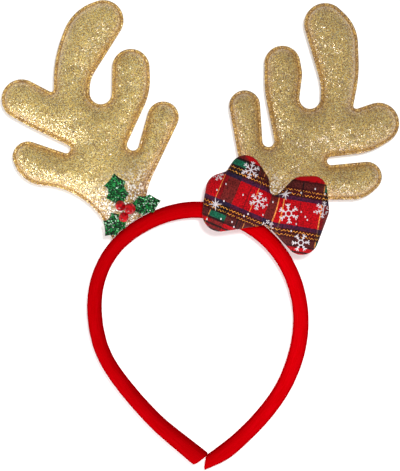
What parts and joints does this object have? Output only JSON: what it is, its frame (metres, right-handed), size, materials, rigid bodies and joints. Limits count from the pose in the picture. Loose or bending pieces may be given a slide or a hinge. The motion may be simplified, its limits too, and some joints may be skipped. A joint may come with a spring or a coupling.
{
  "type": "reindeer antler headband",
  "caption": "Velvet-covered open headband with padded gold glitter antlers, a padded tartan bow and a small holly sprig.",
  "frame": {"origin": "centre of the whole box in plan, on the surface that the headband lies on", "axes": "+Y from the band's open ends to the antler tips, +Z out of the front, +X to the bow's side"},
  "size_m": [0.2178, 0.2568, 0.022],
  "materials": {
    "red_velvet": "short-pile velvet",
    "gold_glitter_fabric": "fine metallic glitter",
    "red_tartan_cotton": "printed woven cotton",
    "green_glitter_sheet": "glitter-coated stiffened cloth",
    "red_gloss_plastic": "high gloss"
  },
  "bodies": {
    "root": {"headband": "red_velvet", "antler_left": "gold_glitter_fabric", "antler_right": "gold_glitter_fabric", "bow": "red_tartan_cotton", "holly_leaf_top": "green_glitter_sheet", "holly_leaf_right": "green_glitter_sheet", "holly_leaf_low": "green_glitter_sheet", "holly_berry_left": "red_gloss_plastic", "holly_berry_right": "red_gloss_plastic", "holly_berry_low": "red_gloss_plastic"}
  },
  "joints": []
}
